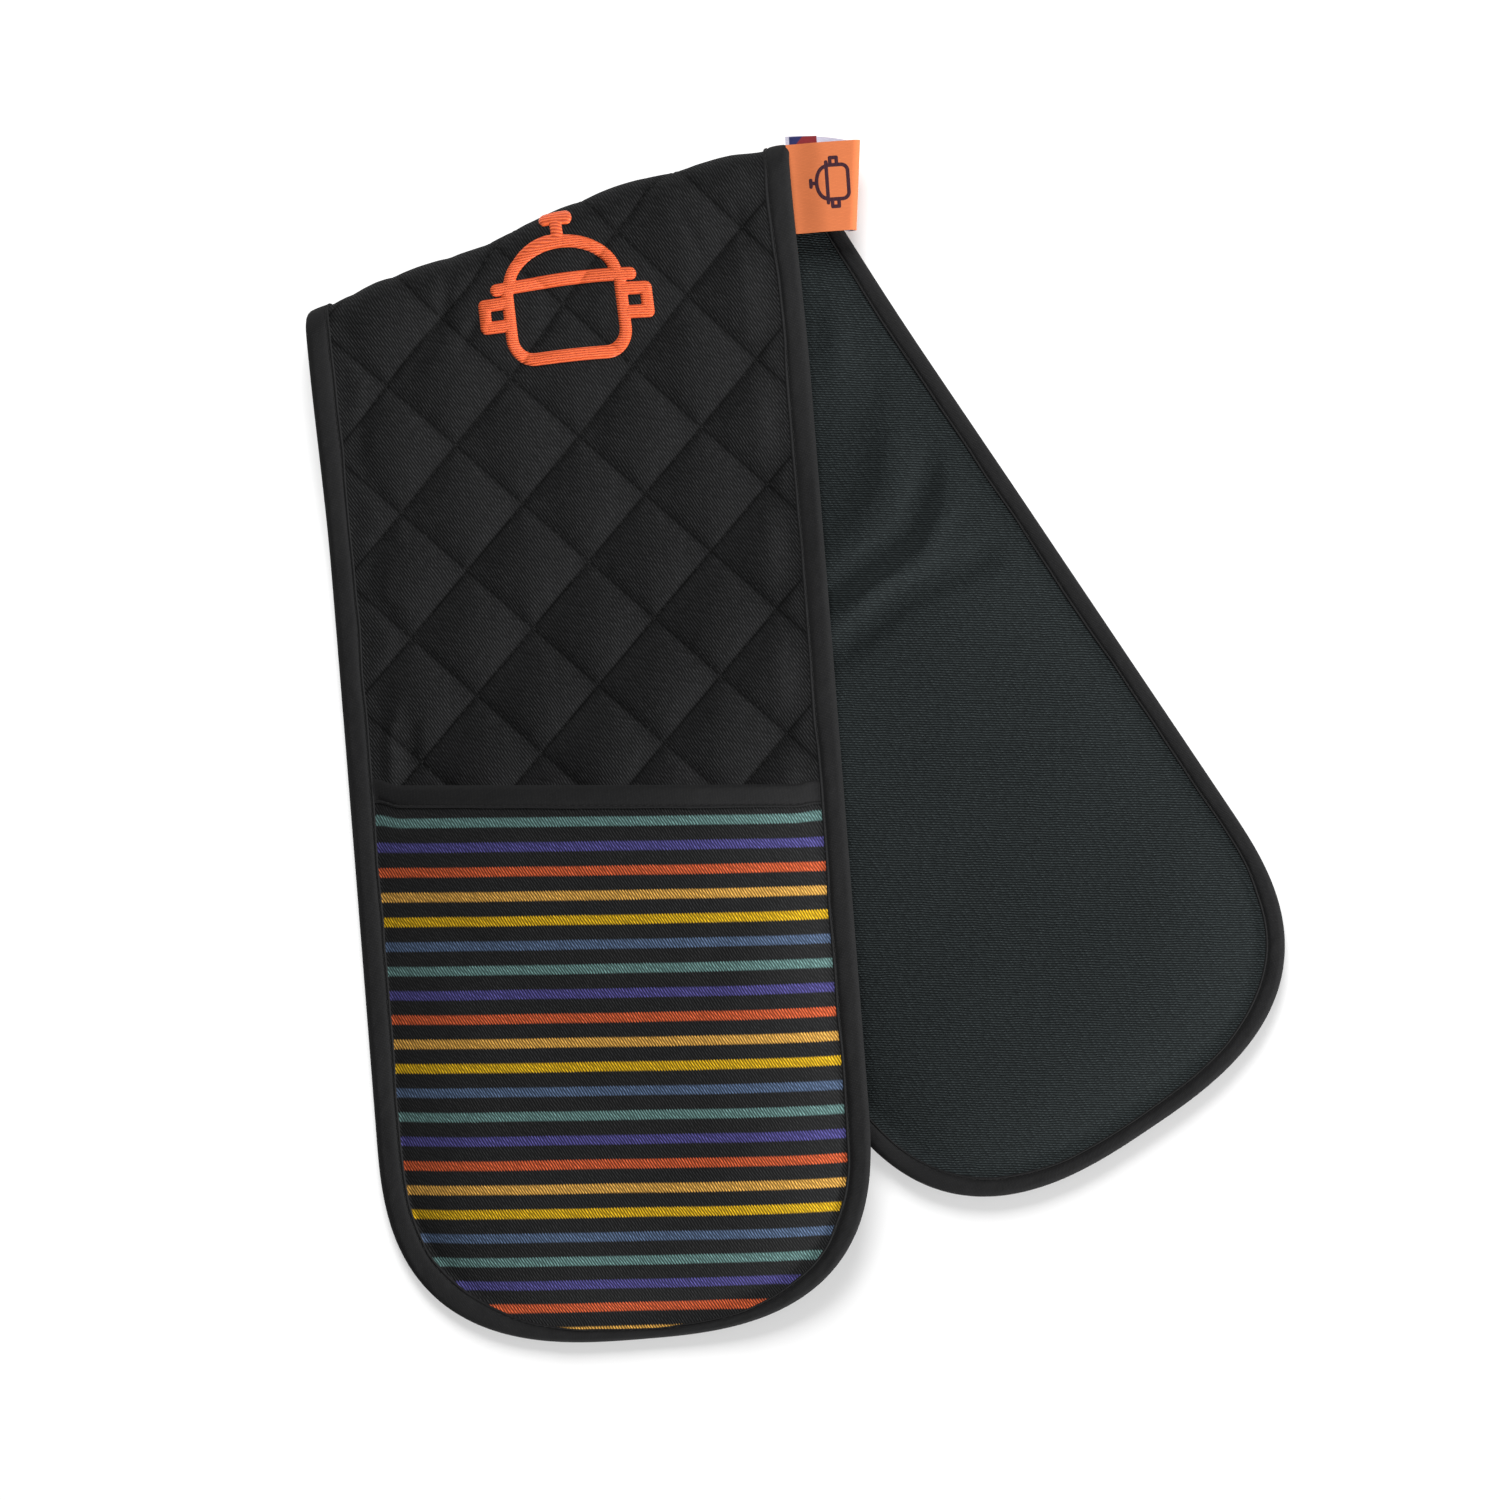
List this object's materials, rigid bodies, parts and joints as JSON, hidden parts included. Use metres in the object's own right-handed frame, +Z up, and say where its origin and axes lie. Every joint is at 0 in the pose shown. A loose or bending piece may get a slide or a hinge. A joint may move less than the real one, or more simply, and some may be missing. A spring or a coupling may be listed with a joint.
{
  "type": "double oven glove",
  "caption": "Folded double oven glove: a quilted padded strip with a lined hand pocket at each end, bound edges and a ribbon hanging loop.",
  "frame": {"origin": "bottom centre of the bounding box of the glove as it lies folded on a table", "axes": "+Z up from the table, +Y along the folded glove towards the fold, +X across it towards the fanned back leg"},
  "size_m": [0.3628, 0.4438, 0.0388],
  "materials": {
    "black_twill": "matt cotton twill, quilted",
    "backing_twill": "smooth fine twill with a faint sheen",
    "striped_twill": "black twill with woven stripes in six colours",
    "lining": "plain cotton lining",
    "wadding": "lofty polyester wadding",
    "binding_tape": "smooth folded bias tape, slight satin",
    "embroidery_thread": "glossy satin stitch",
    "loop_ribbon": "satin ribbon",
    "label_tape": "woven label tape"
  },
  "bodies": {
    "back_leg": {"back_backing": "backing_twill", "back_wadding": "wadding", "back_quilted_face": "black_twill", "back_edge_binding": "binding_tape"},
    "back_pocket": {"back_pocket_lining": "lining", "back_pocket_wadding": "wadding", "back_pocket_outer": "striped_twill", "back_pocket_mouth_binding": "binding_tape"},
    "front_leg": {"front_backing": "backing_twill", "front_wadding": "wadding", "front_quilted_face": "black_twill", "front_edge_binding": "binding_tape", "emblem": "embroidery_thread"},
    "front_pocket": {"front_pocket_lining": "lining", "front_pocket_wadding": "wadding", "front_pocket_outer": "striped_twill", "front_pocket_mouth_binding": "binding_tape"},
    "loop": {"hanging_loop": "loop_ribbon", "care_label": "label_tape"}
  },
  "joints": [
    {"name": "fold", "type": "hinge", "parent": "back_leg", "child": "front_leg", "pos_m": [-0.09362, 0.19539, 0.01075], "axis": [-0.9444, -0.3289, 0], "range_deg": [0, 176]},
    {"name": "front_pocket_gape", "type": "hinge", "parent": "front_leg", "child": "front_pocket", "pos_m": [-0.05884, -0.21159, 0.00495], "axis": [0.9969, 0.0785, 0], "range_deg": [0, 6]},
    {"name": "back_pocket_gape", "type": "hinge", "parent": "back_leg", "child": "back_pocket", "pos_m": [0.12522, -0.13521, 0.00435], "axis": [-0.83, -0.5577, 0], "range_deg": [0, 12]},
    {"name": "loop_swing", "type": "hinge", "parent": "front_leg", "child": "loop", "pos_m": [0.00027, 0.20385, 0.014], "axis": [0.0691, -0.9976, 0], "range_deg": [-8, 60]}
  ]
}
